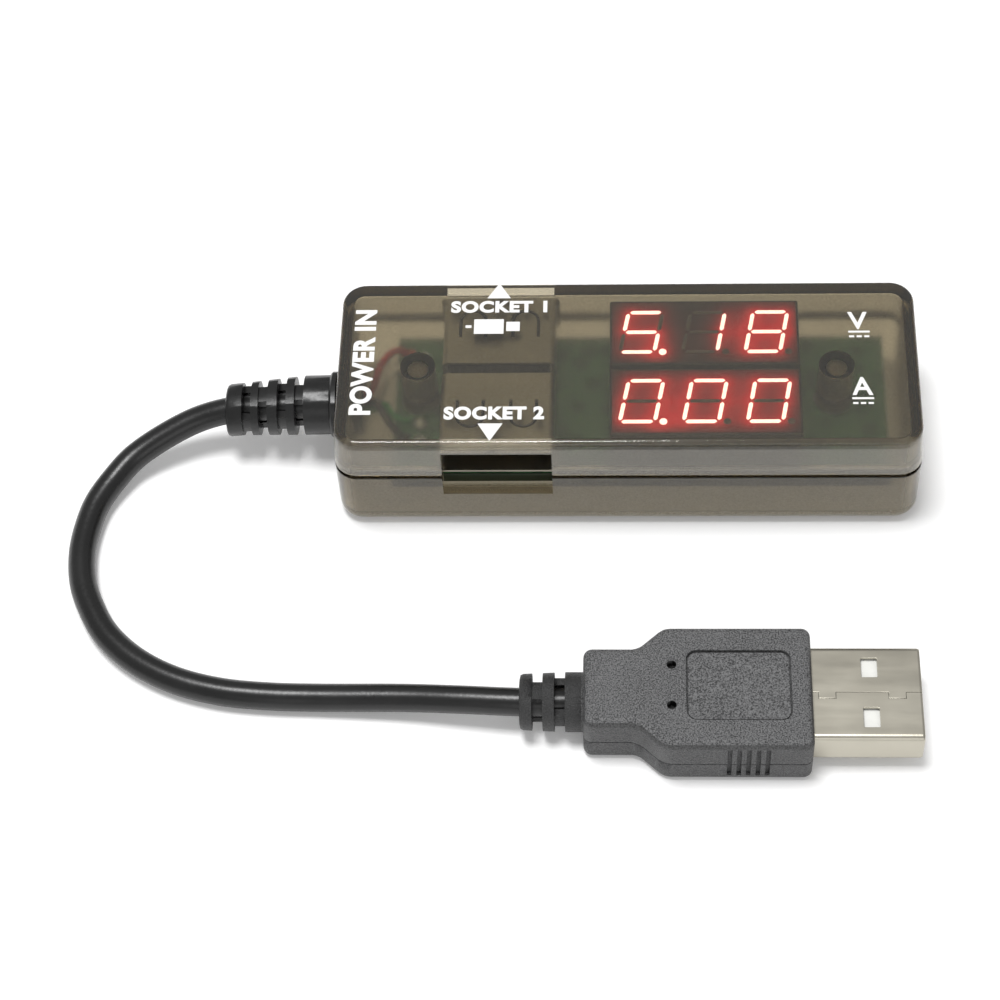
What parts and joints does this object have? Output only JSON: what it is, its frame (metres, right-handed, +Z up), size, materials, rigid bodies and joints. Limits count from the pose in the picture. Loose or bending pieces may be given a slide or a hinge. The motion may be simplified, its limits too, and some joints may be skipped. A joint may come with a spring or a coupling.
{
  "type": "usb power meter",
  "caption": "Smoked two-part case with two sockets, two red digit displays and a plug on a short cable, for reading voltage and current.",
  "frame": {"origin": "centre of the case's underside", "axes": "+X along the case's long side away from the cable, +Z up out of its lid, +Y towards the rear socket"},
  "size_m": [0.1, 0.0593, 0.0153],
  "materials": {
    "smoked_plastic": "smooth translucent smoke-brown moulding",
    "zinc_steel": "bright zinc plate",
    "board_green": "dark green solder mask",
    "display_black": "black display housing",
    "chip_epoxy": "matte black epoxy",
    "capacitor_ceramic": "tan ceramic",
    "nickel_sheet": "satin nickel-plated sheet",
    "black_insulator": "matte black moulding",
    "white_insulator": "white moulding",
    "gold_contact": "gold flash over copper alloy",
    "cable_rubber": "semi-gloss black jacket",
    "plug_plastic": "fine spark-textured black moulding",
    "wire_red": "red insulation",
    "wire_white": "white insulation",
    "wire_green": "green insulation",
    "wire_black": "black insulation"
  },
  "bodies": {
    "root": {"upper_case": "smoked_plastic", "lower_case": "smoked_plastic", "case_screw_1": "zinc_steel", "case_screw_2": "zinc_steel", "circuit_board": "board_green", "display_volts": "display_black", "display_amps": "display_black", "meter_chip": "chip_epoxy", "regulator": "chip_epoxy", "shunt_resistor": "zinc_steel", "capacitor_1": "capacitor_ceramic", "capacitor_2": "capacitor_ceramic", "front_socket_shell": "nickel_sheet", "front_socket_insulator": "black_insulator", "front_socket_contact_1": "gold_contact", "front_socket_contact_2": "gold_contact", "front_socket_contact_3": "gold_contact", "front_socket_contact_4": "gold_contact", "rear_socket_shell": "nickel_sheet", "rear_socket_insulator": "black_insulator", "rear_socket_contact_1": "gold_contact", "rear_socket_contact_2": "gold_contact", "rear_socket_contact_3": "gold_contact", "rear_socket_contact_4": "gold_contact", "cable_gland": "cable_rubber", "cable": "cable_rubber", "wire_red": "wire_red", "wire_white": "wire_white", "wire_green": "wire_green", "wire_black": "wire_black", "plug_overmould": "plug_plastic", "plug_inner_mould": "white_insulator", "plug_shell": "nickel_sheet", "plug_insulator": "white_insulator", "plug_contact_1": "gold_contact", "plug_contact_2": "gold_contact", "plug_contact_3": "gold_contact", "plug_contact_4": "gold_contact"}
  },
  "joints": []
}
